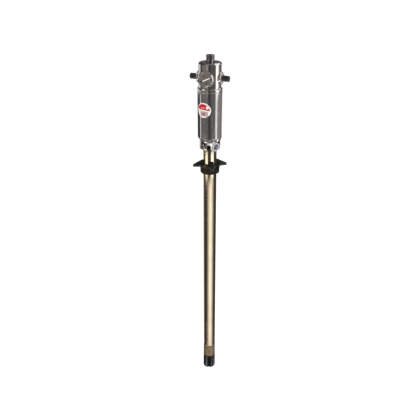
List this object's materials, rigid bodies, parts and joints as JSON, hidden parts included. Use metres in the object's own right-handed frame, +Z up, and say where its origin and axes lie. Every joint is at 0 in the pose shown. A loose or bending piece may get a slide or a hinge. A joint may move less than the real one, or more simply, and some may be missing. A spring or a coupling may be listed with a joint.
{
  "type": "drum barrel pump",
  "caption": "Air-operated drum pump with a plated air motor, winged bung adapter, long suction tube and foot valve.",
  "frame": {"origin": "on the pump's axis at the underside of the bung adapter's flange, where it seats on the drum", "axes": "+Z up along the pump's axis towards the air motor, -Y to the front, +X to the right"},
  "size_m": [0.1166, 0.1056, 1.1491],
  "materials": {
    "nickel_plate": "bright nickel plate with drawn lines",
    "cylinder_plate": "bright nickel plated tube",
    "black_steel": "black oxide, semi-gloss",
    "dark_nickel": "smoked nickel, polished",
    "zinc_blue": "blue passivated zinc",
    "zinc_yellow": "yellow passivated zinc, satin",
    "brown_brass": "dull brass, matte",
    "cast_black": "black enamel on cast iron",
    "bronze": "sintered bronze",
    "steel": "turned steel",
    "ground_steel": "ground and hard chromed",
    "spring_steel": "drawn wire",
    "aluminium": "turned aluminium",
    "rubber": "moulded nitrile rubber",
    "seal_plastic": "natural acetal",
    "label_film": "printed vinyl film, plain red band"
  },
  "bodies": {
    "adapter": {"bung_adapter": "cast_black"},
    "seal_ring": {"tube_seal_ring": "rubber"},
    "clamp": {"clamp_screw": "black_steel"},
    "reciprocator": {"air_piston": "aluminium", "piston_seal": "rubber", "piston_guide_ring": "seal_plastic", "piston_nut": "steel", "piston_rod": "ground_steel", "rod_coupling": "steel", "coupling_pins": "spring_steel", "connecting_rod": "ground_steel", "plunger": "steel", "plunger_seals": "seal_plastic", "plunger_seat": "steel", "plunger_stop_pin": "steel"},
    "upper_check_ball": {"plunger_ball": "ground_steel"},
    "lower_check_ball": {"foot_ball": "ground_steel"},
    "spool": {"valve_spool": "bronze", "spool_seals": "rubber", "spool_nut": "steel", "trip_rod": "ground_steel", "trip_collar": "bronze"},
    "left_detent": {"left_detent_plunger": "steel"},
    "right_detent": {"right_detent_plunger": "steel"},
    "pump": {"suction_tube": "zinc_yellow", "lower_collar": "brown_brass", "foot_valve_body": "black_steel", "foot_seat": "steel", "foot_stop_pin": "steel", "foot_strainer": "steel", "lower_housing": "nickel_plate", "tube_o_ring": "rubber", "cylinder_o_ring": "rubber", "lower_bumper": "rubber", "rod_gland": "bronze", "air_rod_seal": "rubber", "fluid_rod_seal": "rubber", "outlet_bush": "zinc_blue", "vent_plug": "black_steel", "bleed_screw": "nickel_plate", "air_cylinder": "cylinder_plate", "label": "label_film", "cylinder_head": "nickel_plate", "head_o_ring": "rubber", "upper_bumper": "rubber", "top_cap": "dark_nickel", "valve_sleeve": "steel", "exhaust_cap": "nickel_plate", "silencer_disc": "bronze", "left_side_cap": "nickel_plate", "right_side_cap": "nickel_plate", "left_spring_housing": "black_steel", "right_spring_housing": "black_steel", "left_detent_spring": "spring_steel", "right_detent_spring": "spring_steel"}
  },
  "joints": [
    {"name": "pump_turn", "type": "hinge", "parent": "adapter", "child": "seal_ring", "pos_m": [0, 0, -0.009], "axis": [0, 0, 1], "continuous": true},
    {"name": "pump_slide", "type": "slide", "parent": "seal_ring", "child": "pump", "axis": [0, 0, 1], "range_m": [-0.0362, 0.69]},
    {"name": "clamp_loosen", "type": "slide", "parent": "adapter", "child": "clamp", "axis": [0.7071, -0.7071, 0], "range_m": [0, 0.004]},
    {"name": "air_stroke", "type": "slide", "parent": "pump", "child": "reciprocator", "axis": [0, 0, 1], "range_m": [0, 0.1]},
    {"name": "upper_check_lift", "type": "slide", "parent": "reciprocator", "child": "upper_check_ball", "axis": [0, 0, 1], "range_m": [0, 0.005]},
    {"name": "lower_check_lift", "type": "slide", "parent": "pump", "child": "lower_check_ball", "axis": [0, 0, 1], "range_m": [0, 0.006]},
    {"name": "spool_shift", "type": "slide", "parent": "pump", "child": "spool", "axis": [0, 0, 1], "range_m": [0, 0.008]},
    {"name": "left_detent_travel", "type": "slide", "parent": "pump", "child": "left_detent", "axis": [-0.9245, 0.3811, 0], "range_m": [0, 0.003], "stiffness_N_per_m": 2000, "springref_m": -0.005, "deforming": ["left_detent_spring"]},
    {"name": "right_detent_travel", "type": "slide", "parent": "pump", "child": "right_detent", "axis": [0.9245, -0.3811, 0], "range_m": [0, 0.003], "stiffness_N_per_m": 2000, "springref_m": -0.005, "deforming": ["right_detent_spring"]}
  ]
}
